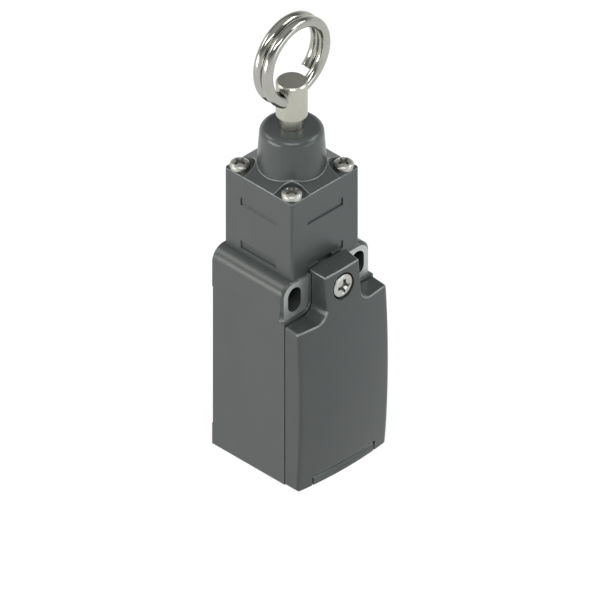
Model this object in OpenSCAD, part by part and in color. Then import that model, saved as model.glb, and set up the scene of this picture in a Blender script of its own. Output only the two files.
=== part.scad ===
// Rope pull switch: a die-cast limit switch whose contacts change over when the ring is pulled.
// Origin at the centre of the conduit entry on the bottom face, +Z along the pull rod, front at -Y.

/* [Housing] */
// Width of the housing and of the cover
housing_w = 31; // [30:0.5:33]
// Height of the housing's shoulders above the bottom face
housing_h = 59; // [59:0.5:62]
// Face that lies on the machine
back_y = 12.4; // [12.2:0.1:13.5]
// Front rim that the cover closes against
rim_y = -12.9; // [-13.2:0.1:-12.6]
// How far the machined ear faces stand behind the rim
ear_step = 0.95; // [0.6:0.05:1.1]
// Radius of the two shoulders
shoulder_r = 4; // [3:0.5:4.5]
// Painted edge round each machined ear face
ear_edge = 0.75; // [0.4:0.05:0.9]

/* [Fixing slots and conduit] */
// Distance between the two fixing slots
slot_spacing = 22; // [21.5:0.5:23]
// Width of a slot, for an M4 screw
slot_w = 4.5; // [4.3:0.1:4.7]
// Length of a slot
slot_len = 7; // [6:0.1:7]
// Height of the slots
slot_z = 53.4; // [53:0.1:53.6]
// Core radius of the M20 x 1.5 conduit thread
conduit_r = 9.19; // [9:0.01:9.3]
// Depth of the conduit thread
conduit_depth = 10; // [8:0.5:10]

/* [Cover] */
// Foremost point of the bulged cover
crest_y = -19.6; // [-20:0.05:-19.4]
// Height of that point
crest_z = 26; // [22:1:30]
// Radius of the bulge seen from above
plan_r = 110; // [100:5:160]
// Radius of the bulge seen from the side
profile_r = 300; // [250:10:400]
// Height of the cover's shoulders
cover_shoulder = 47.9; // [47.5:0.1:48]
// Half width of the tongue at its root
tongue_half = 6.2; // [6:0.1:6.4]
// Top of the tongue
tongue_top = 60.4; // [60:0.1:60.6]
// Round between a shoulder and the tongue
scallop_r = 3.2; // [2.6:0.1:3.6]
// Height of the cover screw
cover_screw_z = 55; // [54:0.1:55.2]

/* [Hinge] */
// Hinge axis, distance in front of the rod
hinge_y = -16.6; // [-16.65:0.05:-16.55]
// Hinge axis, height above the bottom face
hinge_z = 0.9; // [0.85:0.05:0.95]
// Half width of the hinge tab
tab_half = 10.4; // [9:0.1:11]
// Radius of the hinge pin
hinge_pin_r = 0.6; // [0.5:0.05:0.6]

/* [Head] */
// Width of the square head
head_w = 23.5; // [23:0.1:24]
// Height of the head's four walls
head_top = 82.05; // [81:0.05:83]
// Rise of the hipped roof for each millimetre inward
roof_slope = 0.38; // [0.3:0.01:0.42]
// Distance of the four head screws from the rod axis, along X and Y
head_screw_at = 9.05; // [8.9:0.05:9.1]
// Radius of the collar at its foot
collar_foot_r = 8.8; // [8.6:0.1:9]
// Radius of the collar below its rounded rim
collar_rim_r = 8.1; // [8:0.1:8.3]
// Top of the collar
collar_top = 94.8; // [94.5:0.1:95.5]

/* [Pull rod and ring] */
// Radius of the rod
rod_r = 3; // [2.8:0.1:3.1]
// Radius of the eye at the end of the rod
eye_r = 4; // [3.8:0.1:4.2]
// Underside of the eye
eye_foot = 98.1; // [97.5:0.1:99]
// Top of the eye
eye_top = 108.2; // [107.5:0.1:109]
// Height of the cross hole
eye_hole_z = 104.3; // [104:0.1:104.5]
// Radius of the cross hole
eye_hole_r = 2.15; // [2.1:0.05:2.3]
// Mean radius of the split ring
ring_r = 10.77; // [10.5:0.01:11]
// Radius of the ring's wire
ring_wire_r = 1.45; // [1.3:0.05:1.5]

/* [Travel] */
// Full stroke of the pull rod
stroke = 6; // [4:0.5:6]

/* [Hidden] */

fine = 96;
small = 48;
past = 1;
half_w = housing_w / 2;
ear_y = rim_y + ear_step;
cover_back = rim_y - 0.3;

// Hollow of the housing
cavity_half = 12.9;
cavity_floor = conduit_depth;
cavity_top = 45.3;
cavity_back = 10.2;
cavity_r = 2;
actuator_bore_r = 5.2;
rim_shoulder = cover_shoulder + 0.6;
rim_corner_r = 2.6;
relief_depth = 0.24;
relief_from = 6.3;
relief_to = 47.5;

// Cover
cover_draft = 0.45;
cover_reach = -20.8;
lip_back = -12.5;
lip_foot = housing_h + 0.3;
pocket_depth = 3;
pocket_from = 5.6;
groove_in = 13.5;
groove_out = 14.9;
groove_depth = 1.3;
groove_foot = 3.4;
groove_top = 47.3;
tab_side_gap = 0.45;
knuckle_r = 1.85;
notch_top = hinge_z + 2.02;
pin_half = 13.5;

// Cover screw, M3.5
cover_screw_r = 1.75;
cover_screw_head_r = 3.2;
cover_screw_seat = -16.4;
cover_screw_hole_r = 2.2;
cover_screw_tip = rim_y + 3;
cover_screw_turn = -4;

// Head
head_half = head_w / 2;
head_edge_r = 0.7;
roof_top = 84.3;
corner_pocket = 3.75;
screw_head_r = 2.62;
screw_head_h = 1.8;
screw_shank_r = 1.5;
screw_tip = housing_h - 1.8;
ramp_half = 6.15;
ramp_h = 2.3;
ramp_depth = 0.4;
foot_notch_half = 2.45;
foot_notch_h = 1.6;
foot_notch_deep = 1.2;
ramp_feet = [60.45, 73.35];
spring_bore_r = 6.7;
bush_r = 4.6;
plate_r = 7.2;
plate_top = 61.2;
bush_flange_foot = 85;
bush_flange_top = 86;
bush_top = 91.5;
seal_top = 93.2;
collar_hole_r = rod_r + 0.08;
gasket_in = 7.6;
gasket_out = 9.2;
gasket_h = 0.9;

// Rod stack
nose_r = 2.4;
nose_foot = 56.5;
clip_foot = plate_top + 0.05;
clip_top = clip_foot + 0.8;
seat_top = clip_top + 1.4;
spring_mean_r = 5;
spring_wire_r = 0.7;

// Contact block
block_half = 12.4;
block_front = -5;
block_foot = 16.2;
block_top = 44.6;
channel_half = 3.05;
channel_floor = 17.5;
channel_back = 2.85;
window_half = 8.4;
window_foot = 24.6;
window_top = 38.6;
terminal_in = 4.6;
terminal_out = 11.6;
terminal_back = -0.2;
terminal_x = 8.2;
terminal_z = [19.8, 41.7];
strip = 0.8;
tip_r = 1.1;
tip_x = 6.4;
lower_tip_z = 27.6;
upper_tip_z = lower_tip_z + stroke + 2.5;
bridge_foot = lower_tip_z + 0.75;
bridge_h = 0.9;
carrier_half = 2.85;
carrier_deep = 2.7;
carrier_foot = 24.5;
carrier_top = 43;
plunger_r = 2.3;
block_screw_x = 10.5;
block_screw_z = 31.6;

// Earth terminal
earth_x = 9.8;
earth_z = 13.1;
earth_boss_r = 2.9;
earth_face = 6.4;

// ---------- shared shapes ----------

// Box between two opposite corners
module box(low, high) {
    translate(low) cube(high - low);
}

// Extrudes an outline drawn in X and Z from the front plane to the rear plane
module along_y(front, rear) {
    translate([0, rear, 0]) rotate([90, 0, 0]) linear_extrude(rear - front) children();
}

// Extrudes an outline drawn in Y and Z between two X planes
module along_x(left, right) {
    translate([left, 0, 0]) rotate([90, 0, 90]) linear_extrude(right - left) children();
}

// Round bar along Y
module bar_y(x, z, front, rear, r, n = small) {
    translate([x, rear, z]) rotate([90, 0, 0]) cylinder(h = rear - front, r = r, $fn = n);
}

// Round bar along X
module bar_x(y, z, left, right, r, n = small) {
    translate([left, y, z]) rotate([0, 90, 0]) cylinder(h = right - left, r = r, $fn = n);
}

// Round bar along Z
module bar_z(x, y, foot, top, r, n = fine) {
    translate([x, y, foot]) cylinder(h = top - foot, r = r, $fn = n);
}

// Outline of a rectangle with four equal rounded corners
module round_rect(low, high, r) {
    translate([low.x + r, low.y]) square([high.x - low.x - 2 * r, high.y - low.y]);
    translate([low.x, low.y + r]) square([high.x - low.x, high.y - low.y - 2 * r]);
    for (x = [low.x + r, high.x - r], z = [low.y + r, high.y - r])
        translate([x, z]) circle(r = r, $fn = small);
}

// Repeats its children on the left and on the right
module both_sides() {
    children();
    mirror([1, 0, 0]) children();
}

// Repeats its children at the four head screws
module at_head_screws() {
    for (x = [-head_screw_at, head_screw_at], y = [-head_screw_at, head_screw_at])
        translate([x, y, 0]) children();
}

// Repeats its children at the four terminals
module at_terminals() {
    for (x = [-terminal_x, terminal_x], z = terminal_z) translate([x, 0, z]) children();
}

// Pan head with a domed top and a cross recess, seated at z = 0 and pointing up
module pan_head(r, h, dome = 2) {
    recess_l = 1.15 * r;
    recess_w = 0.3 * r;
    recess_d = 0.55 * h;
    difference() {
        intersection() {
            cylinder(h = h, r = r, $fn = small);
            translate([0, 0, h - dome * r]) sphere(r = dome * r, $fn = fine);
        }
        for (turn = [0, 90])
            rotate([0, 0, turn])
                translate([-recess_l / 2, -recess_w / 2, h - recess_d]) cube([recess_l, recess_w, h]);
    }
}

// Rings of points round a wire that winds about Z
function wire_points(mean_r, wire_r, turns, heights, sides) = [
    for (i = [0 : len(turns) - 1], k = [0 : sides - 1])
        let (out = mean_r + wire_r * cos(360 * k / sides))
        [out * cos(turns[i]), out * sin(turns[i]), heights[i] + wire_r * sin(360 * k / sides)]
];

// Skin of that wire: side walls, then the two cut ends
function wire_faces(rings, sides) = concat(
    [for (i = [0 : rings - 2], k = [0 : sides - 1]) let (n = (k + 1) % sides)
        [i * sides + k, i * sides + n, (i + 1) * sides + n, (i + 1) * sides + k]],
    [[for (k = [sides - 1 : -1 : 0]) k]],
    [[for (k = [0 : sides - 1]) (rings - 1) * sides + k]]
);

// Compression spring between two planes, with one closed turn at each end
module coil_spring(mean_r, wire_r, foot, top, turns, sides, steps) {
    low = foot + wire_r;
    high = top - wire_r;
    lead = 2.04 * wire_r;
    pitch = (high - low - 2 * lead) / (turns - 2);
    count = turns * steps;
    made = [for (i = [0 : count]) i / steps];
    angles = [for (t = made) 360 * t];
    heights = [for (t = made)
        t < 1 ? low + lead * t
        : t > turns - 1 ? high - lead * (turns - t)
        : low + lead + pitch * (t - 1)];
    polyhedron(wire_points(mean_r, wire_r, angles, heights, sides), wire_faces(count + 1, sides));
}

// Everything behind the doubly bulged front of the cover
module bulge() {
    sweep_angle = 18;
    keep_from = profile_r - 9;
    translate([0, crest_y + profile_r, crest_z])
        rotate([0, -90, 0]) rotate([0, 0, -90 - sweep_angle / 2])
            rotate_extrude(angle = sweep_angle, $fn = 720)
                intersection() {
                    translate([profile_r - plan_r, 0]) circle(r = plan_r, $fn = 720);
                    translate([keep_from, -half_w - past]) square([10, housing_w + 2 * past]);
                }
}

// ---------- housing ----------

module housing_outline() {
    translate([-half_w, 0]) square([housing_w, housing_h - shoulder_r]);
    translate([-half_w + shoulder_r, 0]) square([housing_w - 2 * shoulder_r, housing_h]);
    for (x = [-half_w + shoulder_r, half_w - shoulder_r])
        translate([x, housing_h - shoulder_r]) circle(r = shoulder_r, $fn = fine);
}

module slot_outline() {
    reach = (slot_len - slot_w) / 2;
    for (z = [-reach, reach]) translate([0, z]) circle(r = slot_w / 2, $fn = small);
    translate([-slot_w / 2, -reach]) square([slot_w, 2 * reach]);
}

// The rim stands in front of the ears, below them and between them
module rim_outline() {
    translate([-half_w, 0]) square([housing_w, rim_shoulder]);
    translate([-tongue_half, 0]) square([2 * tongue_half, housing_h]);
    both_sides() difference() {
        translate([tongue_half, rim_shoulder]) square(rim_corner_r);
        translate([tongue_half + rim_corner_r, rim_shoulder + rim_corner_r])
            circle(r = rim_corner_r, $fn = small);
    }
}

// Removes the sharp corner along the side, shoulder and top of one ear
module ear_edge_cut() {
    arc_x = half_w - shoulder_r;
    arc_z = housing_h - shoulder_r;
    translate([0, 0, rim_shoulder]) linear_extrude(arc_z - rim_shoulder) polygon([
        [half_w - ear_edge, ear_y], [half_w + past, ear_y - past], [half_w, ear_y + ear_edge]]);
    along_x(tongue_half, arc_x) polygon([
        [ear_y, housing_h - ear_edge], [ear_y - past, housing_h + past],
        [ear_y + ear_edge, housing_h]]);
    translate([arc_x, 0, arc_z]) rotate([90, 0, 0]) rotate_extrude(angle = 90, $fn = fine) polygon([
        [shoulder_r - ear_edge, -ear_y], [shoulder_r + past, past - ear_y],
        [shoulder_r, -ear_y - ear_edge]]);
}

// Tab at the foot of the housing that carries the hinge pin
module hinge_tab() {
    intersection() {
        union() {
            box([-tab_half, cover_reach, 0], [tab_half, rim_y, hinge_z]);
            box([-tab_half, hinge_y, 0], [tab_half, rim_y, hinge_z + knuckle_r]);
            bar_x(hinge_y, hinge_z, -tab_half, tab_half, knuckle_r);
        }
        box([-tab_half, cover_reach, 0], [tab_half, rim_y, notch_top]);
        bulge();
    }
}

module housing() {
    color("dimgray") difference() {
        union() {
            along_y(ear_y, back_y) housing_outline();
            along_y(rim_y, ear_y) rim_outline();
            hinge_tab();
        }
        both_sides() ear_edge_cut();
        box([-half_w - past, back_y - relief_depth, relief_from],
            [half_w + past, back_y + past, relief_to]);
        difference() {
            along_y(rim_y - past, cavity_back)
                round_rect([-cavity_half, cavity_floor], [cavity_half, cavity_top], cavity_r);
            bar_y(earth_x, earth_z, earth_face, cavity_back + past, earth_boss_r);
        }
        bar_z(0, 0, -past, cavity_floor + past, conduit_r);
        bar_z(0, 0, cavity_top - past, housing_h + past, actuator_bore_r);
        both_sides() translate([slot_spacing / 2, 0, slot_z])
            along_y(rim_y - past, back_y + past) slot_outline();
        at_head_screws()
            bar_z(0, 0, screw_tip - 0.1, housing_h + past, screw_shank_r + 0.02, small);
        bar_y(0, cover_screw_z, rim_y - past, cover_screw_tip + 0.6, cover_screw_hole_r);
        bar_x(hinge_y, hinge_z, -tab_half - past, tab_half + past, hinge_pin_r + 0.01);
        both_sides() bar_y(block_screw_x, block_screw_z, cavity_back - past, cavity_back + 1.5, 1.02);
        bar_y(earth_x, earth_z, earth_face - past, earth_face + 4, 1.52);
    }
}

// ---------- cover ----------

// Air beside the tongue, above one shoulder; it widens towards the front
module scallop() {
    corner_x = tongue_half + scallop_r;
    corner_z = cover_shoulder + scallop_r;
    deep = cover_back - cover_reach;
    above = tongue_top + past;
    outside = half_w + past;
    translate([corner_x, cover_back, corner_z]) rotate([90, 0, 0])
        cylinder(h = deep, r1 = scallop_r, r2 = scallop_r + cover_draft, $fn = fine);
    along_x(corner_x, outside) polygon([
        [cover_back, cover_shoulder], [cover_reach, cover_shoulder - cover_draft],
        [cover_reach, above], [cover_back, above]]);
    translate([0, 0, corner_z]) linear_extrude(above - corner_z) polygon([
        [tongue_half, cover_back], [tongue_half - cover_draft, cover_reach],
        [outside, cover_reach], [outside, cover_back]]);
}

// Rounded rectangle that follows the sealing groove at a given half width
module gasket_edge(reach, r) {
    round_rect([-reach, groove_foot + groove_out - reach], [reach, groove_top - groove_out + reach], r);
}

module gasket_outline(inner, outer) {
    difference() {
        gasket_edge(outer, 2.2);
        gasket_edge(inner, 1.2);
    }
}

module cover() {
    top_fall = 0.8;
    color("gray") difference() {
        union() {
            intersection() {
                box([-half_w, cover_reach, 0], [half_w, cover_back, tongue_top]);
                bulge();
            }
            box([-tongue_half, cover_back - past, lip_foot], [tongue_half, lip_back, tongue_top]);
        }
        both_sides() translate([0, 0.001, 0]) scallop();
        along_x(-tongue_half - past, tongue_half + past) polygon([
            [lip_back, tongue_top], [cover_reach, tongue_top - top_fall],
            [cover_reach, tongue_top + past]]);
        along_y(cover_back - pocket_depth, cover_back + past)
            round_rect([-cavity_half, pocket_from], [cavity_half, cavity_top], cavity_r);
        along_y(cover_back - groove_depth, cover_back + past) gasket_outline(groove_in, groove_out);
        box([-tab_half - tab_side_gap, cover_reach, -past],
            [tab_half + tab_side_gap, cover_back + past, notch_top]);
        bar_x(hinge_y, hinge_z, -pin_half - 0.1, pin_half + 0.1, hinge_pin_r + 0.04);
        bar_y(0, cover_screw_z, cover_reach, cover_back + past, cover_screw_r + 0.1);
        bar_y(0, cover_screw_z, cover_reach, cover_screw_seat + 0.02, cover_screw_head_r + 0.38);
        bar_y(0, cover_screw_z, cover_back - 1, cover_back + past, 3.1);
    }
}

module cover_gasket() {
    color("black") along_y(cover_back - groove_depth, rim_y - 0.05)
        gasket_outline(groove_in + 0.05, groove_out - 0.05);
}

module cover_screw() {
    color("silver") {
        bar_y(0, cover_screw_z, cover_screw_seat, cover_screw_tip, cover_screw_r);
        translate([0, cover_screw_seat, cover_screw_z]) rotate([90, 0, 0])
            rotate([0, 0, cover_screw_turn]) pan_head(cover_screw_head_r, 2, 4);
    }
}

module screw_retainer() {
    color("white") difference() {
        bar_y(0, cover_screw_z, cover_back - 0.9, cover_back - 0.1, 3);
        bar_y(0, cover_screw_z, cover_back - past, cover_back, cover_screw_r);
    }
}

module hinge_pin() {
    color("silver") bar_x(hinge_y, hinge_z, -pin_half, pin_half, hinge_pin_r);
}

// ---------- head ----------

// The head's square outline between two heights
module head_prism(foot, top) {
    translate([0, 0, foot]) linear_extrude(top - foot)
        round_rect([-head_half, -head_half], [head_half, head_half], head_edge_r);
}

// Four slopes that rise from the walls to the collar
module head_roof() {
    shrink = (roof_top - head_top) / roof_slope;
    slope = [[-head_half, head_top - 1], [head_half, head_top - 1], [head_half, head_top],
        [head_half - shrink, roof_top], [shrink - head_half, roof_top], [-head_half, head_top]];
    intersection() {
        along_x(-head_half, head_half) polygon(slope);
        along_y(-head_half, head_half) polygon(slope);
        head_prism(head_top - 1, roof_top);
    }
}

module collar() {
    rim_round = 2.1;
    rotate_extrude($fn = fine) {
        polygon([[0, head_top - 1], [collar_foot_r, head_top - 1], [collar_foot_r, head_top + 1],
            [collar_rim_r, collar_top - rim_round], [0, collar_top - rim_round]]);
        translate([collar_rim_r - rim_round, collar_top - rim_round]) intersection() {
            circle(r = rim_round, $fn = small);
            square(rim_round);
        }
        translate([0, collar_top - rim_round]) square([collar_rim_r - rim_round, rim_round]);
    }
}

// Flat pocket for one corner screw, open to both sides of the head
module corner_pocket() {
    reach = head_half - head_screw_at + past;
    translate([0, 0, head_top]) linear_extrude(roof_top - head_top + past) {
        circle(r = corner_pocket, $fn = fine);
        translate([0, -corner_pocket]) square([reach, 2 * corner_pocket]);
        translate([-corner_pocket, 0]) square([2 * corner_pocket, reach]);
    }
}

// Shallow recess cut into one wall, deepest at its foot
module latch_ramp(foot) {
    outside = -head_half - past;
    along_x(-ramp_half, ramp_half) polygon([
        [outside, foot], [ramp_depth - head_half, foot],
        [0.6 * ramp_depth - head_half, foot + ramp_h], [outside, foot + ramp_h]]);
}

module head() {
    color("dimgray") difference() {
        union() {
            head_prism(housing_h, head_top);
            head_roof();
            collar();
        }
        for (turn = [0 : 90 : 270]) rotate([0, 0, turn]) {
            translate([head_screw_at, head_screw_at, 0]) corner_pocket();
            for (foot = ramp_feet) latch_ramp(foot);
        }
        box([-foot_notch_half, -head_half - past, housing_h - past],
            [foot_notch_half, foot_notch_deep - head_half, housing_h + foot_notch_h]);
        at_head_screws()
            bar_z(0, 0, housing_h - past, head_top + past, screw_shank_r + 0.1, small);
        bar_z(0, 0, housing_h - past, plate_top, plate_r + 0.02);
        bar_z(0, 0, housing_h, bush_flange_top, spring_bore_r);
        bar_z(0, 0, bush_flange_foot, seal_top, bush_r);
        bar_z(0, 0, bush_top, collar_top + past, collar_hole_r);
        difference() {
            bar_z(0, 0, housing_h - past, housing_h + gasket_h, gasket_out + 0.02);
            bar_z(0, 0, housing_h - past, housing_h + gasket_h, gasket_in - 0.02);
        }
    }
}

module head_gasket() {
    color("black") difference() {
        bar_z(0, 0, housing_h, housing_h + gasket_h, gasket_out);
        bar_z(0, 0, housing_h - past, housing_h + past, gasket_in);
    }
}

module head_screws() {
    color("silver") at_head_screws() {
        bar_z(0, 0, screw_tip, head_top + 0.02, screw_shank_r, small);
        translate([0, 0, head_top + 0.02]) pan_head(screw_head_r, screw_head_h);
    }
}

// Closes the spring bore and stops the rod at the end of its return
module base_plate() {
    color("darkgray") difference() {
        bar_z(0, 0, housing_h + 0.02, plate_top, plate_r);
        bar_z(0, 0, housing_h, plate_top + past, nose_r + 0.3);
    }
}

module guide_bush() {
    color("goldenrod") difference() {
        union() {
            bar_z(0, 0, bush_flange_foot, bush_flange_top, spring_bore_r - 0.05);
            bar_z(0, 0, bush_flange_foot, bush_top, bush_r - 0.01);
        }
        bar_z(0, 0, bush_flange_foot - past, bush_top + past, rod_r + 0.05);
    }
}

module rod_seal() {
    section_r = 0.75;
    color("black") rotate_extrude($fn = fine)
        translate([rod_r + 0.06 + section_r, bush_top + section_r + 0.05])
            circle(r = section_r, $fn = small);
}

// ---------- pull rod ----------

module pull_rod() {
    bevel = 0.4;
    groove_r = 1.9;
    color("lightgray") difference() {
        rotate_extrude($fn = fine) polygon([
            [0, nose_foot], [nose_r - bevel, nose_foot], [nose_r, nose_foot + bevel],
            [nose_r, clip_foot], [groove_r, clip_foot], [groove_r, clip_top], [nose_r, clip_top],
            [nose_r, seat_top], [rod_r, seat_top], [rod_r, eye_foot],
            [eye_r - bevel / 2, eye_foot], [eye_r, eye_foot + bevel / 2],
            [eye_r, eye_top - bevel], [eye_r - bevel, eye_top], [0, eye_top]]);
        bar_x(0, eye_hole_z, -eye_r - past, eye_r + past, eye_hole_r, fine);
    }
}

module spring_seat() {
    lip = spring_mean_r - spring_wire_r - 0.15;
    color("silver") difference() {
        union() {
            bar_z(0, 0, clip_top, seat_top, spring_bore_r - 0.35);
            bar_z(0, 0, seat_top, seat_top + 1.2, lip);
        }
        bar_z(0, 0, clip_top - past, seat_top, nose_r + 0.03);
        bar_z(0, 0, seat_top, seat_top + 2, rod_r + 0.1);
    }
}

module retaining_clip() {
    color("gray") difference() {
        bar_z(0, 0, clip_foot, clip_top, 4.2, small);
        bar_z(0, 0, clip_foot - past, clip_top + past, 1.93, small);
        box([-1.9, -5, clip_foot - past], [1.9, 0, clip_top + past]);
    }
}

module return_spring() {
    color("silver")
        coil_spring(spring_mean_r, spring_wire_r, seat_top + 0.02, bush_flange_foot - 0.02, 8, 8, 16);
}

// Open ring of about one and three quarter turns; its middle strand runs through the eye
module split_ring() {
    start = -45;
    end = 599;
    bottom = 270;
    steps = 64;
    sides = 16;
    lead = 2 * ring_wire_r + 0.06;
    sag = 0.38;
    angles = [for (i = [0 : steps]) start + (end - start) * i / steps];
    heights = [for (a = angles) lead * (a - bottom) / 360];
    points = wire_points(ring_r, ring_wire_r, angles, heights, sides);
    color("lightgray") translate([0, 0, eye_hole_z - sag + ring_r]) rotate([90, 0, 0])
        polyhedron(points, wire_faces(steps + 1, sides));
}

// ---------- contact block ----------

module contact_block() {
    color("ivory") difference() {
        box([-block_half, block_front, block_foot], [block_half, cavity_back - 0.1, block_top]);
        box([-channel_half, block_front - past, channel_floor],
            [channel_half, channel_back, block_top + past]);
        box([-window_half, block_front - past, window_foot], [window_half, channel_back, window_top]);
        both_sides() {
            box([terminal_in, block_front - past, block_foot - past],
                [terminal_out, terminal_back, window_foot]);
            box([terminal_in, block_front - past, window_top],
                [terminal_out, terminal_back, block_top + past]);
            bar_y(block_screw_x, block_screw_z, block_front - past, block_front + 2, 1.75);
            bar_y(block_screw_x, block_screw_z, block_front, cavity_back + past, 1.05);
        }
        at_terminals() bar_y(0, 0, terminal_back - past, 2.2, 1.6);
    }
}

module block_cover() {
    color("dimgray") difference() {
        box([-4.4, block_front - 1.2, channel_floor], [4.4, block_front - 0.02, block_top - 0.6]);
        for (z = [window_foot + 2, window_foot + 6.5, window_foot + 11])
            box([-2.6, block_front - 1.3, z], [2.6, block_front - 0.7, z + 1.2]);
    }
}

module block_screws() {
    color("silver") both_sides() {
        bar_y(block_screw_x, block_screw_z, block_front + 2, cavity_back + 1.4, 1);
        translate([block_screw_x, block_front + 2, block_screw_z])
            rotate([90, 0, 0]) pan_head(1.6, 1.3);
    }
}

// Carrier that the pull rod holds down at rest, with a window for the bridge
module contact_plunger() {
    bevel = 0.3;
    color("firebrick") difference() {
        union() {
            box([-carrier_half, -carrier_deep, carrier_foot],
                [carrier_half, carrier_deep, carrier_top]);
            bar_z(0, 0, carrier_top, nose_foot - 0.05 - bevel, plunger_r, small);
            translate([0, 0, nose_foot - 0.05 - bevel])
                cylinder(h = bevel, r1 = plunger_r, r2 = plunger_r - bevel, $fn = small);
        }
        box([-carrier_half - past, -1.65, bridge_foot - 0.05],
            [carrier_half + past, 1.65, bridge_foot + 6]);
    }
}

module plunger_spring() {
    color("silver") coil_spring(1.9, 0.25, channel_floor + 0.02, carrier_foot - 0.02, 7, 6, 14);
}

module contact_bridge() {
    color("peru") {
        box([-7.6, -1.5, bridge_foot], [7.6, 1.5, bridge_foot + bridge_h]);
        both_sides() bar_z(tip_x, 0, lower_tip_z + 0.05, bridge_foot, tip_r, small);
        both_sides()
            bar_z(tip_x, 0, bridge_foot + bridge_h, bridge_foot + bridge_h + 0.7, tip_r, small);
    }
}

module bridge_spring() {
    color("silver") coil_spring(1.1, 0.18, bridge_foot + bridge_h + 0.02, bridge_foot + 5.98, 6, 6, 12);
}

// One stamped strip: a terminal plate, a neck and a leaf that carries the contact tip
module fixed_contact(plate_foot, plate_head, neck_foot, neck_head, leaf_foot, tip_foot, screw_z) {
    difference() {
        union() {
            box([4.9, terminal_back - strip, plate_foot], [11.3, terminal_back, plate_head]);
            box([4.9, terminal_back - strip, neck_foot], [8.2, terminal_back, neck_head]);
            box([4.9, terminal_back - strip, leaf_foot], [8.2, 1.9, leaf_foot + strip]);
            bar_z(tip_x, 0.2, tip_foot, tip_foot + strip, tip_r, small);
        }
        bar_y(terminal_x, screw_z, -2, 1, 1.55);
    }
}

module upper_contacts() {
    leaf = upper_tip_z + strip;
    color("peru") both_sides()
        fixed_contact(leaf + 2.2, 44.2, leaf, leaf + 2.2, leaf, upper_tip_z, terminal_z[1]);
}

module lower_contacts() {
    leaf = lower_tip_z - 2 * strip;
    color("peru") both_sides()
        fixed_contact(17, 22.6, 22.6, leaf + strip, leaf, lower_tip_z - strip, terminal_z[0]);
}

module terminal_screws() {
    color("silver") at_terminals() {
        bar_y(0, 0, -2.9, 2, 1.5);
        translate([0, -2.9, 0]) rotate([90, 0, 0]) pan_head(2.6, 1.9);
    }
}

module terminal_clamps() {
    color("gold") at_terminals() difference() {
        box([-2.7, -2.85, -2.4], [2.7, -2, 2.4]);
        bar_y(0, 0, -4, 0, 1.55);
    }
}

// ---------- earth terminal ----------

module earth_screw() {
    color("silver") {
        bar_y(earth_x, earth_z, earth_face - 2, earth_face + 3.8, 1.5);
        translate([earth_x, earth_face - 2, earth_z]) rotate([90, 0, 0]) pan_head(2.5, 1.9);
    }
}

module earth_clamp() {
    color("gold") difference() {
        bar_y(earth_x, earth_z, earth_face - 1.95, earth_face - 1, 2.6);
        bar_y(earth_x, earth_z, earth_face - 3, earth_face, 1.55);
    }
}

housing();
cover();
cover_gasket();
cover_screw();
screw_retainer();
hinge_pin();
head();
head_gasket();
head_screws();
base_plate();
guide_bush();
rod_seal();
pull_rod();
spring_seat();
retaining_clip();
return_spring();
split_ring();
contact_block();
block_cover();
block_screws();
contact_plunger();
plunger_spring();
contact_bridge();
bridge_spring();
upper_contacts();
lower_contacts();
terminal_screws();
terminal_clamps();
earth_screw();
earth_clamp();
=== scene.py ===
# %% [markdown]
# # Rope pull switch
# A rope pull switch is a small die-cast box that a machine carries. A rope is tied to the ring on
# top, and a pull on it lifts a steel rod and changes the contacts over. The solids of every part
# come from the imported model. This lesson gives them their edges, their finishes and their light.

import math

import bmesh
import bpy
from mathutils import Matrix, Vector


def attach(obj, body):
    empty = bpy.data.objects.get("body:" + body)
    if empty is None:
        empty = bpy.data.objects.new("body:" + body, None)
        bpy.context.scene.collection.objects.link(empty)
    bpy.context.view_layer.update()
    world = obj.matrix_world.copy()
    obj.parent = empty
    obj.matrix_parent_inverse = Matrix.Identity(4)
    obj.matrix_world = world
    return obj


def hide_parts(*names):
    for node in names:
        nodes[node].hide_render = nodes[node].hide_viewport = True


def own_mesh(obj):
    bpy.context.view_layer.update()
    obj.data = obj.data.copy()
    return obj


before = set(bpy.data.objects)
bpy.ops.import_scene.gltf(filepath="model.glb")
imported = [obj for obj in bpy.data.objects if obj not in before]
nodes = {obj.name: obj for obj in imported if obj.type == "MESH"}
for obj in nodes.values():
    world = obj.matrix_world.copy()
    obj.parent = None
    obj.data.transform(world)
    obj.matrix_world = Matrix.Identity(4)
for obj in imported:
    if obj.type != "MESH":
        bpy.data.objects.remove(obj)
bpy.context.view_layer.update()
MM = 0.001

# %% [markdown]
# ## Camera
# A product picture without perspective keeps parallel edges parallel. An orthographic camera that
# looks down on a corner at the isometric angle shows the left wall, the front and the top at once.

# %% Camera on the isometric axis
TOWARDS_CAMERA = Vector((-1, -1, 1)).normalized()
LOOK_AT = Vector((1.44, -1.44, 41.75)) * MM
CAMERA_DISTANCE = 0.8
VIEW_WIDTH = 148.2 * MM

camera_data = bpy.data.cameras.new("camera")
camera_data.type = "ORTHO"
camera_data.ortho_scale = VIEW_WIDTH
camera = bpy.data.objects.new("camera", camera_data)
camera.location = LOOK_AT + TOWARDS_CAMERA * CAMERA_DISTANCE
camera.rotation_euler = (-TOWARDS_CAMERA).to_track_quat("-Z", "Y").to_euler()
bpy.context.scene.collection.objects.link(camera)
bpy.context.scene.camera = camera
bpy.context.scene.view_settings.view_transform = "Standard"
print("camera at", [round(x, 3) for x in camera.location])

# %% [markdown]
# ## Building materials from nodes
# Each finish is a small network of nodes. One function adds a node with its settings and its
# links, and one turns an sRGB hex colour into the linear colour that the renderer works with.


# %% Helpers for colours and nodes
def hex_colour(code):
    def linear(value):
        return value / 12.92 if value <= 0.04045 else ((value + 0.055) / 1.055) ** 2.4

    return tuple(linear(int(code[i:i + 2], 16) / 255) for i in (1, 3, 5)) + (1.0,)


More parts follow.
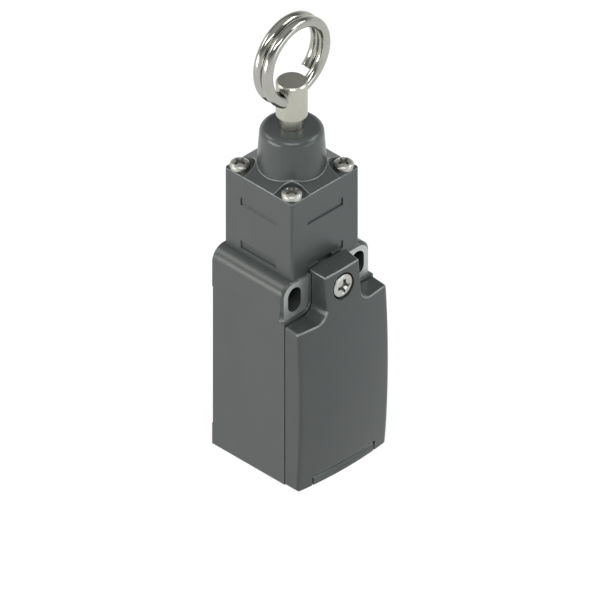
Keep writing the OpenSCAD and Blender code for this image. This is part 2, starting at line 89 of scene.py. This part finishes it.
def add_node(tree, kind, values=None, links=None, **settings):
    """Adds a node, sets its properties and sockets, and links other nodes' outputs into it."""
    node = tree.nodes.new(kind)
    for name, value in settings.items():
        setattr(node, name, value)
    for socket, value in (values or {}).items():
        node.inputs[socket].default_value = value
    for socket, output in (links or {}).items():
        tree.links.new(output, node.inputs[socket])
    return node


def new_material(name):
    material = bpy.data.materials.new(name)
    material.use_nodes = True
    material.node_tree.nodes.clear()
    return material, material.node_tree


print("mid grey in linear light:", [round(c, 3) for c in hex_colour("#808080")])


# %% [markdown]
# ## A surface with grain
# Most finishes here need the same three things: a colour that wanders a little, a roughness that
# wanders with it, and a fine bump at a real size. Noise gives all three. Its scale is the number
# of grains in a metre, so a grain size in millimetres turns into a scale directly.


# %% One recipe for grained surfaces
CLOUD_MM = 9.0


def grained(name, dark, light, roughness, grain_mm, bump_mm, stretch=(1, 1, 1), **shader):
    """A surface between two hex colours and two roughnesses, with a bump of bump_mm on grains of grain_mm."""
    material, tree = new_material(name)
    place = add_node(tree, "ShaderNodeTexCoord").outputs["Object"]
    stretched = add_node(tree, "ShaderNodeMapping", {"Scale": stretch}, {"Vector": place})
    cloud = add_node(tree, "ShaderNodeTexNoise",
                     {"Scale": 1 / (CLOUD_MM * MM), "Detail": 3.0, "Roughness": 0.6}, {"Vector": place})
    grain = add_node(tree, "ShaderNodeTexNoise",
                     {"Scale": 1 / (grain_mm * MM), "Detail": 2.0, "Roughness": 0.5},
                     {"Vector": stretched.outputs["Vector"]})
    both = add_node(tree, "ShaderNodeMix", {"Factor": 0.45},
                    {"A": cloud.outputs["Fac"], "B": grain.outputs["Fac"]}, data_type="FLOAT")
    colour = add_node(tree, "ShaderNodeValToRGB", links={"Fac": both.outputs["Result"]})
    colour.color_ramp.elements[0].position = 0.3
    colour.color_ramp.elements[0].color = hex_colour(dark)
    colour.color_ramp.elements[1].position = 0.7
    colour.color_ramp.elements[1].color = hex_colour(light)
    rough = add_node(tree, "ShaderNodeMapRange",
                     {"From Min": 0.3, "From Max": 0.7, "To Min": roughness[0], "To Max": roughness[1]},
                     {"Value": both.outputs["Result"]})
    bump = add_node(tree, "ShaderNodeBump", {"Strength": 0.6, "Distance": bump_mm * MM},
                    {"Height": grain.outputs["Fac"]})
    surface = add_node(tree, "ShaderNodeBsdfPrincipled", shader,
                       {"Base Color": colour.outputs["Color"], "Roughness": rough.outputs["Result"],
                        "Normal": bump.outputs["Normal"]})
    add_node(tree, "ShaderNodeOutputMaterial", links={"Surface": surface.outputs["BSDF"]})
    return material


# %% [markdown]
# ## Paint and bare casting
# The box and the head are zinc die castings with a matt dark grey powder coat. Powder melts into
# tiny mounds under a millimetre wide, which break up its shine. It flows away from a sharp edge
# while it melts, so the coat is thin there. The lighter colour on the rounded edges is a painted
# highlight, a lighter copy of the coat that stands in for the light the edges catch. The ear faces
# are machined after the coating, so they show the bare casting.

# %% Paint and casting
# Matt dark grey: a soft broad shine, with mounds of 0.35 mm that only blur the reflections.
powder_coat = grained("powder_coated_zinc_casting", "#464b4a", "#4d5250", (0.28, 0.36), 0.35, 0.002,
                      **{"Specular IOR Level": 0.65})
# Painted shade: the same powder coat made a shade deeper on the cover, so its bulged front reads darker than
# the box.
cover_coat_painted_shade = grained("powder_coated_zinc_cover_painted_shade", "#404544", "#474c4a", (0.28, 0.36), 0.35, 0.002,
                     **{"Specular IOR Level": 0.6})
# Painted highlight: a lighter, smoother copy of the powder coat laid on rounded edges, so each edge shows as
# a fine bright line.
painted_edge_highlight = grained("powder_coat_painted_edge_highlight", "#7c8180", "#8d9190", (0.2, 0.28), 0.35, 0.001,
                    **{"Specular IOR Level": 0.9})
# Milled zinc: pale, dull and a little streaky. The streaks are drawn coarser than real tool marks.
bare_casting = grained("machined_zinc_casting", "#b3b7b5", "#c3c7c4", (0.38, 0.5), 0.25, 0.004,
                       stretch=(1, 1, 6), Metallic=0.75)
print("paint and casting:", len(bpy.data.materials))

# %% [markdown]
# ## Steels
# The ring is bent from polished wire, the rod is turned, the screws are cold formed and zinc
# plated, and the springs are drawn. How each surface was made decides how sharp its reflections
# are. Real turning marks and drawing lines are a few hundredths of a millimetre apart, too fine to
# see, so their noise is drawn a few times coarser.

# %% Steels
# Polished wire: sharp white streaks beside darker bands.
polished_wire = grained("polished_steel_wire", "#9e9e97", "#adada6", (0.08, 0.14), 0.4, 0.001, Metallic=1.0)
# Turned bar: a satin shine that is drawn out round the bar, with fine rings.
turned_steel = grained("turned_stainless_steel", "#adaca2", "#bbbaaf", (0.3, 0.4), 0.12, 0.002,
                       stretch=(0.15, 0.15, 1), Metallic=1.0)
# A drilled bore: rough and duller than the turned rod, with painted shade: its colour is made dark so the
# hole reads dark beside the bright rod.
bore_painted_shade = grained("drilled_steel_bore_painted_shade", "#2b2b2a", "#3a3a38", (0.45, 0.6), 0.2, 0.004, Metallic=1.0)
# Zinc plating: a soft silvery grey with blurred highlights.
plated_screw = grained("zinc_plated_steel_screw", "#aaaaa4", "#bcbcb6", (0.3, 0.42), 0.3, 0.002, Metallic=1.0)
# Painted shade in the screw's cross: its walls take a darker copy of the plated steel.
recess_painted_shade = grained("screw_recess_painted_shade", "#8e8e89", "#9d9d98", (0.26, 0.38), 0.3, 0.002, Metallic=1.0)
# Drawn spring wire: darker steel with a satin line of light on each turn.
spring_wire = grained("drawn_spring_wire", "#75777a", "#8b8d90", (0.3, 0.42), 0.3, 0.002, Metallic=1.0)
print("with steels:", len(bpy.data.materials))

# %% [markdown]
# ## Materials inside
# Behind the cover are the materials of small electrical parts: a contact block pressed from a
# filled thermoset, nylon mouldings, stamped copper and brass, rubber seals and a sintered bush.

# %% Mouldings, rubber and copper alloys
# Pressed thermoset: cream and chalky, because its mineral filler reaches the surface.
thermoset = grained("moulded_thermoset", "#d8d2bf", "#e2dccb", (0.5, 0.62), 0.5, 0.006)
# Moulded nylon: an even colour with a soft shine. The black, red and natural ones differ by pigment.
dark_moulding = grained("moulded_black_nylon", "#26272a", "#303134", (0.42, 0.55), 0.4, 0.005)
red_moulding = grained("moulded_red_nylon", "#8e2018", "#a02a20", (0.36, 0.48), 0.4, 0.004)
white_nylon = grained("moulded_natural_nylon", "#dcdcd6", "#e6e6e0", (0.4, 0.5), 0.4, 0.004)
# Moulded nitrile rubber: nearly black, with hardly any shine.
nitrile = grained("moulded_nitrile_rubber", "#141414", "#1d1d1d", (0.6, 0.75), 0.3, 0.006)
# Stamped copper and brass strip: warm metals with the satin face of rolled sheet.
copper_strip = grained("stamped_copper_strip", "#b87a4e", "#c98a5c", (0.25, 0.38), 0.3, 0.002, Metallic=1.0)
brass_strip = grained("stamped_brass", "#bfa057", "#cfb168", (0.28, 0.4), 0.3, 0.002, Metallic=1.0)
# Sintered bronze: brown and dull, because its pores and the oil in them scatter the light.
sintered_bronze = grained("sintered_bronze", "#8f6a3a", "#a27a46", (0.45, 0.6), 0.2, 0.006, Metallic=1.0)
print("all finishes:", len(bpy.data.materials))


# %% [markdown]
# ## Rounding the edges of a part
# No real edge is perfectly sharp, and a thin round along it is what catches the light. A packed
# part arrives as loose triangles. A copy of it is merged into one skin, its flat faces are joined
# again, and the chosen edges are bevelled. The copy then stands for the part. A bevel that is wider
# than the faces beside it folds over itself, so each width stays below the strip it lies on.


# %% Copy, merge and bevel
SMOOTH_ANGLE = math.radians(32)
LEAST_EDGE = math.radians(28)
FLAT_ANGLE = math.radians(0.1)
MERGE_GAP = 0.002 * MM


def show(name, mesh, body, stands_for, slot, *materials):
    """Puts a mesh in the scene with its finishes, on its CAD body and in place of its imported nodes."""
    piece = bpy.data.objects.new(name, mesh)
    bpy.context.scene.collection.objects.link(piece)
    for material in materials:
        mesh.materials.append(material)
    mesh.shade_smooth()
    mesh.set_sharp_from_angle(angle=SMOOTH_ANGLE)
    normals = piece.modifiers.new("flat_faces_stay_flat", "WEIGHTED_NORMAL")
    normals.keep_sharp = True
    normals.weight = 100
    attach(piece, body)
    if stands_for:
        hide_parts(*stands_for)
    return piece


def merged_copy(node):
    """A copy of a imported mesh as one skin, with every flat face whole again."""
    skin = bmesh.new()
    skin.from_mesh(nodes[node].data)
    bmesh.ops.remove_doubles(skin, verts=skin.verts, dist=MERGE_GAP)
    bmesh.ops.dissolve_degenerate(skin, edges=skin.edges, dist=MERGE_GAP)
    bmesh.ops.dissolve_limit(skin, angle_limit=FLAT_ANGLE, verts=skin.verts, edges=skin.edges)
    return skin


def sharp_edges(skin, chosen, side=1):
    """The sharp edges whose middle, in mm, chosen() accepts: outer ones, or inner ones with side -1."""
    return [e for e in skin.edges
            if len(e.link_faces) == 2 and e.calc_face_angle_signed(0) * side > LEAST_EDGE
            and chosen((e.verts[0].co + e.verts[1].co) / 2 / MM)]


def round_edges(skin, width, chosen, steps=3, clamp=True, side=1, finish=0):
    """Bevels the chosen sharp edges. The new faces take the material number in finish."""
    picked = sharp_edges(skin, chosen, side)
    made = bmesh.ops.bevel(skin, geom=picked, offset=width * MM, offset_type="OFFSET", segments=steps,
                           profile=0.5, affect="EDGES", clamp_overlap=clamp, material=-1)
    for face in made["faces"]:
        face.material_index = finish
    return len(picked)


def to_mesh(skin, name):
    mesh = bpy.data.meshes.new(name)
    skin.to_mesh(mesh)
    skin.free()
    return mesh


# %% [markdown]
# ## Housing
# The housing's back and side edges carry a soft round. The ear faces are bare metal, so the same
# mesh takes a second material there: a face belongs to an ear if it looks forward and lies in the
# ear's plane.

# %% Housing with bare ear faces
BACK_ROUND = 0.3
RIM_ROUND = 0.2
NEAR_BACK_Y = 12.0
NEAR_RIM_Y = -12.7
NEAR_SIDE_X = 15.3
EAR_Y = -11.95
EAR_FOOT_Z = 48


def at_back_or_foot(p):
    return p.y > NEAR_BACK_Y or p.z < 0.05 and p.y > -NEAR_BACK_Y and abs(p.x) > 10


housing_skin = merged_copy("housing")
rounded = round_edges(housing_skin, BACK_ROUND, at_back_or_foot)
rounded += round_edges(housing_skin, RIM_ROUND, lambda p: p.y < NEAR_RIM_Y and abs(p.x) > NEAR_SIDE_X)
for face in housing_skin.faces:
    centre = face.calc_center_median() / MM
    ear = face.normal.y < -0.99 and abs(centre.y - EAR_Y) < 0.05 and centre.z > EAR_FOOT_Z
    face.material_index = 1 if ear else 0
ear_faces = sum(f.material_index for f in housing_skin.faces)
housing = show("housing_casting", to_mesh(housing_skin, "housing_casting"), "switch_body", ["housing"],
               "paint", powder_coat, bare_casting)
print("housing edges:", rounded, "ear faces:", ear_faces)

# %% [markdown]
# ## Cover
# The front of the cover bulges both ways, so light runs over it in one slow fade. A die maker gets
# such a face by sweeping one large arc along another, which makes a torus. The imported mesh divides
# that face into uneven slivers, and a rounded rim can't run cleanly between slivers. So the front is
# first joined into two plain faces, then its rims are rounded, and last it is sliced into an even
# grid whose corners are set on the exact torus.
#
# The rims are softer than the housing's, because the cover is what a hand meets. A painted
# highlight, a lighter copy of the coat, lies on the rounds of the top edges and round the scallops
# beside the screw tab, and is left off the tab's upright edges.

# %% The true shape of the front, in millimetres
CREST_Y = -19.6
CREST_Z = 26.0
PLAN_R = 110.0
PROFILE_R = 300.0


def front_y(x, z):
    """Where the bulged front lies: a torus, PLAN_R seen from above and PROFILE_R seen from the side."""
    reach = PROFILE_R - PLAN_R + math.sqrt(PLAN_R ** 2 - x ** 2)
    return CREST_Y + PROFILE_R - math.sqrt(reach ** 2 - (z - CREST_Z) ** 2)


def off_front(face):
    """How far the face's worst corner is from the true front, in mm."""
    return max(abs(v.co.y / MM - front_y(v.co.x / MM, v.co.z / MM)) for v in face.verts)


def sliced(skin, faces, place, direction):
    """Cuts the faces along one plane through place, in mm, and returns all their pieces."""
    touched = set(faces) | {e for f in faces for e in f.edges} | {v for f in faces for v in f.verts}
    cut = bmesh.ops.bisect_plane(skin, geom=list(touched), dist=1e-7, plane_co=Vector(place) * MM,
                                 plane_no=direction)
    return [piece for piece in cut["geom"] if isinstance(piece, bmesh.types.BMFace)]


print("crest of the front at y:", round(front_y(0, CREST_Z), 2))

# %% Cover
SIDE_ROUND = 0.7
TOP_ROUND = 0.35
SCREW_ROUND = 0.15
SHOULDER_Z = 46
COVER_SCREW_Z = 55
SCREW_RIM_R = 4
TAB_FOOT_Z = 50.4
TAB_TOP_Z = 59.5
GRID_STEP = 1.4
FIRST_ROW_Z = 0.8
COLUMNS = 11
ROWS = 43


def from_screw(p):
    return math.hypot(p.x, p.z - COVER_SCREW_Z)


cover_skin = merged_copy("cover")
front = sliced(cover_skin, [f for f in cover_skin.faces if f.normal.y < -0.9 and off_front(f) < 0.01],
               (0, 0, 0), (1, 0, 0))
halves = [[f for f in front if f.calc_center_median().x * side > 0] for side in (-1, 1)]
for half in halves:
    bmesh.ops.dissolve_faces(cover_skin, faces=half, use_verts=False)
rounded = round_edges(cover_skin, SIDE_ROUND, lambda p: abs(p.x) > NEAR_SIDE_X and p.y < -14, 4, clamp=False)
# The rounds on the top edges and round the scallops take the painted edge highlight.
rounded += round_edges(cover_skin, TOP_ROUND,
                       lambda p: p.y < -13.6 and p.z > SHOULDER_Z and from_screw(p) > SCREW_RIM_R,
                       clamp=False, finish=1)
# Along the screw tab's upright edges the painted highlight is taken off again.
for face in cover_skin.faces:
    if TAB_FOOT_Z < face.calc_center_median().z / MM < TAB_TOP_Z:
        face.material_index = 0
rounded += round_edges(cover_skin, SCREW_ROUND, lambda p: p.y < -17 and from_screw(p) < SCREW_RIM_R, 2)

front = sorted((f for f in cover_skin.faces if off_front(f) < 0.1), key=lambda f: f.calc_area())[-2:]
for column in range(1, COLUMNS + 1):
    for side in (-1, 1):
        front = sliced(cover_skin, front, (side * column * GRID_STEP, 0, 0), (1, 0, 0))
for row in range(ROWS):
    front = sliced(cover_skin, front, (0, 0, FIRST_ROW_Z + row * GRID_STEP), (0, 0, 1))
for corner in {v for f in front for v in f.verts}:
    corner.co.y = front_y(corner.co.x / MM, corner.co.z / MM) * MM
# The cover takes the darker painted-shade coat, with the painted edge highlight as its second material.
cover = show("bulged_cover", to_mesh(cover_skin, "bulged_cover"), "cover_assembly", ["cover"],
             "cover_paint", cover_coat_painted_shade, painted_edge_highlight)
print("cover edges:", rounded, "front faces:", len(front))

# %% [markdown]
# ## Head
# The head is a square block under a low hipped roof. The line where wall meets roof shows as a
# thin bright edge all round, a painted highlight laid on its round. The fillet at the collar's foot
# carries the same painted highlight. It is small, because only a third of a millimetre of roof is
# left between it and the screw pockets.

# %% Head
ROOF_ROUND = 0.2
COLLAR_FILLET = 0.12
EAVES_Z = 81.9
POCKET_TOP_Z = 84.5


def at_roof(p):
    """The roof's rim and the rims of the screw pockets."""
    in_pocket = EAVES_Z < p.z < POCKET_TOP_Z and max(abs(p.x), abs(p.y)) < 11.7
    return in_pocket or EAVES_Z < p.z < EAVES_Z + 0.3 and min(abs(p.x), abs(p.y)) < 11


def at_collar_foot(p):
    return 82.5 < p.z < 85 and 8.4 < math.hypot(p.x, p.y) < 9


head_skin = merged_copy("head")
# The roof's rims and the collar's fillet take the painted edge highlight as finish 1.
rounded = round_edges(head_skin, ROOF_ROUND, at_roof, 2, clamp=False, finish=1)
rounded += round_edges(head_skin, COLLAR_FILLET, at_collar_foot, 3, clamp=False, side=-1, finish=1)
head = show("head_casting", to_mesh(head_skin, "head_casting"), "switch_body", ["head"],
            "paint", powder_coat, painted_edge_highlight)
print("head edges:", rounded)

# %% [markdown]
# ## Cross head screws
# Screw heads are cold formed: a punch drives a tapered cross into a rounded head. Here the screw is
# one outline spun about its axis, and a tapered cross is cut out of it with a boolean. The walls of
# the cross take a darker copy of the plating, as painted shade in the recess.


# %% Spin a screw and cut its recess
def spun(outline, sides):
    """Spins (radius, height) points about Z. The first and last point lie on the axis."""
    skin = bmesh.new()
    points = [skin.verts.new((r, 0, z)) for r, z in outline]
    strip = [skin.edges.new(pair) for pair in zip(points, points[1:])]
    bmesh.ops.spin(skin, geom=points + strip, cent=(0, 0, 0), axis=(0, 0, 1), angle=math.tau, steps=sides,
                   use_merge=True)
    bmesh.ops.remove_doubles(skin, verts=skin.verts, dist=0.0001)
    bmesh.ops.recalc_face_normals(skin, faces=skin.faces)
    return skin


def cross_cutter(reach, width, root, top, depth):
    """A cross that narrows downwards. root is how far the webs between its wings stand out."""
    skin = bmesh.new()
    rings = []
    for z, scale in ((top + 1, 1.0), (top, 1.0), (top - depth, 0.55)):
        ring = []
        for turn in range(4):
            for x, y in ((reach, -width), (reach, width), (root, width), (width, root)):
                corner = Matrix.Rotation(turn * math.pi / 2, 3, "Z") @ Vector((x * scale, y * scale, z))
                ring.append(skin.verts.new(corner))
        rings.append(ring)
    for low, high in zip(rings, rings[1:]):
        for i in range(len(low)):
            n = (i + 1) % len(low)
            skin.faces.new((low[i], low[n], high[n], high[i]))
    skin.faces.new(rings[0])
    skin.faces.new(rings[-1])
    bmesh.ops.recalc_face_normals(skin, faces=skin.faces)
    # The cutter's faces become the cross's walls, which take the second material: painted shade.
    for face in skin.faces:
        face.material_index = 1
    return skin


SCREW_SIDES = 48
DOME_STEP = 6
DOME_POWER = 0.65
TIP_CHAMFER = 0.3
HEAD_CHAMFER = 0.08


def cross_head_screw(head_r, head_h, rim_h, shank_r, length, places):
    """Screws at each placement matrix: the seat is at z = 0 and the head points up, all in mm."""
    dome = [(head_r * math.cos(t) ** DOME_POWER, rim_h + (head_h - rim_h) * math.sin(t))
            for t in (math.radians(a) for a in range(0, 90, DOME_STEP))]
    outline = [(0, -length), (shank_r - TIP_CHAMFER, -length), (shank_r, -length + TIP_CHAMFER), (shank_r, 0),
               (head_r - HEAD_CHAMFER, 0), (head_r, HEAD_CHAMFER), *dome, (0, head_h)]
    body = bpy.data.objects.new("screw_blank", to_mesh(spun(outline, SCREW_SIDES), "screw_blank"))
    punch = cross_cutter(0.68 * head_r, 0.15 * head_r, 0.36 * head_r, head_h, 0.55 * head_h)
    cutter = bpy.data.objects.new("cross_punch", to_mesh(punch, "cross_punch"))
    for each in (body, cutter):
        bpy.context.scene.collection.objects.link(each)
        each.data.materials.append(plated_screw)
        each.data.materials.append(recess_painted_shade)
    cut_out = body.modifiers.new("recess", "BOOLEAN")
    cut_out.operation = "DIFFERENCE"
    cut_out.solver = "EXACT"
    cut_out.object = cutter
    one = bpy.data.meshes.new_from_object(body.evaluated_get(bpy.context.evaluated_depsgraph_get()))
    for each in (body, cutter):
        bpy.data.objects.remove(each)
    skin = bmesh.new()
    for place in places:
        before = len(skin.verts)
        skin.from_mesh(one)
        skin.verts.ensure_lookup_table()
        bmesh.ops.transform(skin, matrix=place, verts=skin.verts[before:])
    bmesh.ops.scale(skin, vec=(MM, MM, MM), verts=skin.verts)
    return skin


SCREW_AT = 9.05
HEAD_SEAT = 82.07
corners = [Matrix.Translation((x, y, HEAD_SEAT))
           for x in (-SCREW_AT, SCREW_AT) for y in (-SCREW_AT, SCREW_AT)]
head_screws_skin = cross_head_screw(2.62, 1.8, 0.75, 1.5, 24.85, corners)
print("screw corners:", len(head_screws_skin.verts))
head_screws = show("head_fixing_screws", to_mesh(head_screws_skin, "head_fixing_screws"), "switch_body",
                   ["head_screws"], "zinc_screw", plated_screw, recess_painted_shade)

COVER_SCREW_SEAT = (0, -16.4, COVER_SCREW_Z)
towards_front = (Matrix.Translation(COVER_SCREW_SEAT) @ Matrix.Rotation(math.pi / 2, 4, "X")
                 @ Matrix.Rotation(math.radians(-4), 4, "Z"))
cover_screw_skin = cross_head_screw(3.2, 2.0, 1.4, 1.75, 6.5, [towards_front])
cover_screw = show("cover_fixing_screw", to_mesh(cover_screw_skin, "cover_fixing_screw"), "cover_assembly",
                   ["cover_screw"], "zinc_screw", plated_screw, recess_painted_shade)

# %% [markdown]
# ## Pull rod
# The rod is turned from one bar and cross drilled for the ring. The inside of the hole is a drilled
# surface, duller than the turned one, and its dark colour is painted shade for the inside of the
# hole. So the faces that lie on the hole's wall take a second finish.

# %% Rod with a drilled eye
EYE_Z = 104.3
EYE_HOLE_R = 2.15
rod_skin = merged_copy("pull_rod")
# Faces on the hole's wall take the painted shade.
for face in rod_skin.faces:
    middle = face.calc_center_median() / MM
    gets_painted_shade = abs(math.hypot(middle.y, middle.z - EYE_Z) - EYE_HOLE_R) < 0.1 and abs(face.normal.x) < 0.1
    face.material_index = 1 if gets_painted_shade else 0
painted_shade_faces = sum(f.material_index for f in rod_skin.faces)
rod = show("turned_pull_rod", to_mesh(rod_skin, "turned_pull_rod"), "pull_assembly", ["pull_rod"],
           "steel", turned_steel, bore_painted_shade)
print("faces in the bore:", painted_shade_faces)

# %% [markdown]
# ## Split ring
# The ring is one wire, wound a little under twice round. A circle spun about the ring's axis
# makes a ring, and a spin that also moves a little sideways at each step makes the winding.

# %% Split ring by a spin with a sideways step
RING_RADIUS = 10.77
WIRE_RADIUS = 1.45
TURN_START = -45
TURN_END = 599
STRAND_STEP = 2.96
RING_CENTRE = Vector((0, 0, 114.69))
WIRE_SIDES = 28
STEP_DEGREES = 3
CUT_END_ROUND = 0.12

wire = bmesh.new()
cut = bmesh.ops.create_circle(wire, cap_ends=False, segments=WIRE_SIDES, radius=WIRE_RADIUS)
start_turn = Matrix.Rotation(-math.radians(TURN_START), 4, "Y")
bottom_turn = (TURN_START - 270) / 360
first_cut = (Matrix.Translation(RING_CENTRE) @ Matrix.Translation((0, -STRAND_STEP * bottom_turn, 0))
             @ start_turn @ Matrix.Translation((RING_RADIUS, 0, 0)))
bmesh.ops.transform(wire, matrix=first_cut, verts=cut["verts"])
steps = round((TURN_END - TURN_START) / STEP_DEGREES)
sideways = -STRAND_STEP * (TURN_END - TURN_START) / 360 / steps
bmesh.ops.spin(wire, geom=wire.edges[:] + wire.verts[:], cent=RING_CENTRE, axis=(0, -1, 0),
               dvec=(0, sideways, 0), angle=math.radians(TURN_END - TURN_START), steps=steps, use_merge=False)
bmesh.ops.holes_fill(wire, edges=[e for e in wire.edges if e.is_boundary], sides=0)
rim = [e for e in wire.edges if any(len(f.verts) == WIRE_SIDES for f in e.link_faces)]
bmesh.ops.bevel(wire, geom=rim, offset=CUT_END_ROUND, offset_type="OFFSET", segments=2, profile=0.5,
                affect="EDGES", clamp_overlap=True, material=-1)
bmesh.ops.scale(wire, vec=(MM, MM, MM), verts=wire.verts)
bmesh.ops.recalc_face_normals(wire, faces=wire.faces)
ring = show("wound_split_ring", to_mesh(wire, "wound_split_ring"), "rope_ring", ["split_ring"],
            "bright_steel", polished_wire)

# %% [markdown]
# ## Return spring
# The return spring is wound wire between the guide bush above and the seat on the rod below. When
# the rod is pulled, the seat rises and the coils close up. Here it is a merged copy on the switch
# body, with a mesh of its own.

# %% Return spring with a mesh of its own
return_spring = show("wound_return_spring", to_mesh(merged_copy("return_spring"), "wound_return_spring"),
                     "switch_body", ["return_spring"], "spring_steel", spring_wire)
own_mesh(return_spring)

# %% [markdown]
# ## Finishes on the remaining parts
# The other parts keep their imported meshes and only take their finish.

# %% Give every other part its finish
FINISHES = {
    "cover_gasket": nitrile, "screw_retainer": white_nylon, "hinge_pin": turned_steel, "head_gasket": nitrile,
    "base_plate": turned_steel, "guide_bush": sintered_bronze, "rod_seal": nitrile,
    "spring_seat": turned_steel, "retaining_clip": spring_wire,
    "contact_block": thermoset, "block_cover": dark_moulding,
    "block_screws": plated_screw, "contact_plunger": red_moulding, "plunger_spring": spring_wire,
    "contact_bridge": copper_strip, "bridge_spring": spring_wire, "upper_contacts": copper_strip,
    "lower_contacts": copper_strip, "terminal_screws": plated_screw, "terminal_clamps": brass_strip,
    "earth_screw": plated_screw, "earth_clamp": brass_strip,
}
for name, finish in FINISHES.items():
    nodes[name].data.materials.clear()
    nodes[name].data.materials.append(finish)
print("finished parts:", len(FINISHES))

# %% [markdown]
# ## Floor and light
# The floor is pale and the background is white. Both are white to the camera and in reflections,
# while the light that falls on the object comes from soft lamps. The left lamp is stronger and
# warmer than the right one, so the left wall is lighter than the front.

# %% White surroundings
FLOOR_SIZE = 3.0
PAPER_GLOW = 0.84
FLOOR_DROP = 0.3 * MM
floor_material, floor_tree = new_material("pale_studio_floor")
ray = add_node(floor_tree, "ShaderNodeLightPath")
camera_or_mirror = add_node(floor_tree, "ShaderNodeMath", operation="ADD", use_clamp=True,
                            links={0: ray.outputs["Is Camera Ray"], 1: ray.outputs["Is Glossy Ray"]})
paper_glow = add_node(floor_tree, "ShaderNodeMath", {1: PAPER_GLOW},
                      {0: camera_or_mirror.outputs["Value"]}, operation="MULTIPLY")
paper = add_node(floor_tree, "ShaderNodeBsdfDiffuse", {"Color": (0.35, 0.35, 0.35, 1)})
glow = add_node(floor_tree, "ShaderNodeEmission", {"Color": (1, 1, 1, 1)},
                {"Strength": paper_glow.outputs["Value"]})
both_layers = add_node(floor_tree, "ShaderNodeAddShader",
                       links={0: paper.outputs["BSDF"], 1: glow.outputs["Emission"]})
add_node(floor_tree, "ShaderNodeOutputMaterial", links={"Surface": both_layers.outputs["Shader"]})

floor_skin = bmesh.new()
bmesh.ops.create_grid(floor_skin, x_segments=1, y_segments=1, size=FLOOR_SIZE / 2)
bmesh.ops.translate(floor_skin, vec=(0, 0, -FLOOR_DROP), verts=floor_skin.verts)
floor_mesh = to_mesh(floor_skin, "studio_floor")
floor_mesh.materials.append(floor_material)
floor = bpy.data.objects.new("studio_floor", floor_mesh)
bpy.context.scene.collection.objects.link(floor)

world = bpy.data.worlds.new("white_room")
bpy.context.scene.world = world
world.use_nodes = True
world.node_tree.nodes.clear()
sky = world.node_tree
sky_ray = add_node(sky, "ShaderNodeLightPath")
direction = add_node(sky, "ShaderNodeTexCoord").outputs["Generated"]
height = add_node(sky, "ShaderNodeSeparateXYZ", links={"Vector": direction})
mirrored = add_node(sky, "ShaderNodeValToRGB", links={"Fac": height.outputs["Z"]})
ROOM_LIGHT = 0.08
WALL_TONES = ((0.1, 1.0), (0.5, 0.24), (0.64, 0.24), (0.85, 0.6))
while len(mirrored.color_ramp.elements) < len(WALL_TONES):
    mirrored.color_ramp.elements.new(0.5)
for stop, (rise, tone) in zip(mirrored.color_ramp.elements, WALL_TONES):
    stop.position = rise
    stop.color = (tone, tone, tone, 1)
unseen = add_node(sky, "ShaderNodeMix", {"A": ROOM_LIGHT},
                  {"Factor": sky_ray.outputs["Is Glossy Ray"], "B": mirrored.outputs["Color"]},
                  data_type="FLOAT")
strength = add_node(sky, "ShaderNodeMix", {"B": 1.0},
                    {"Factor": sky_ray.outputs["Is Camera Ray"], "A": unseen.outputs["Result"]},
                    data_type="FLOAT")
room = add_node(sky, "ShaderNodeBackground", {"Color": (1, 1, 1, 1)},
                {"Strength": strength.outputs["Result"]})
add_node(sky, "ShaderNodeOutputWorld", links={"Surface": room.outputs["Background"]})
print("floor width in m:", FLOOR_SIZE)


# %% Soft lamps
def soft_lamp(name, place, watts, colour, width, height):
    """A rectangular lamp of width by height metres that faces the switch."""
    data = bpy.data.lights.new(name, "AREA")
    data.shape = "RECTANGLE"
    data.size = width
    data.size_y = height
    data.energy = watts
    data.color = colour
    lamp = bpy.data.objects.new(name, data)
    lamp.location = place
    lamp.rotation_euler = (LOOK_AT - Vector(place)).to_track_quat("-Z", "Y").to_euler()
    bpy.context.scene.collection.objects.link(lamp)


soft_lamp("left_lamp", (-0.85, 0.25, 0.17), 3.4, (1.0, 1.0, 0.94), 0.6, 0.3)
soft_lamp("right_lamp", (0.25, -0.85, 0.17), 1.1, (0.84, 0.97, 1.0), 0.6, 0.3)
soft_lamp("left_softbox", (-0.4, 0.55, 0.6), 1.5, (1.0, 1.0, 0.97), 0.45, 0.3)
soft_lamp("right_softbox", (0.5, -0.46, 0.58), 2.1, (0.93, 0.99, 1.0), 0.45, 0.3)
soft_lamp("front_softbox", (-0.38, -0.38, 0.76), 2.8, (1.0, 1.0, 1.0), 0.7, 0.14)
print("lamps:", len(bpy.data.lights))
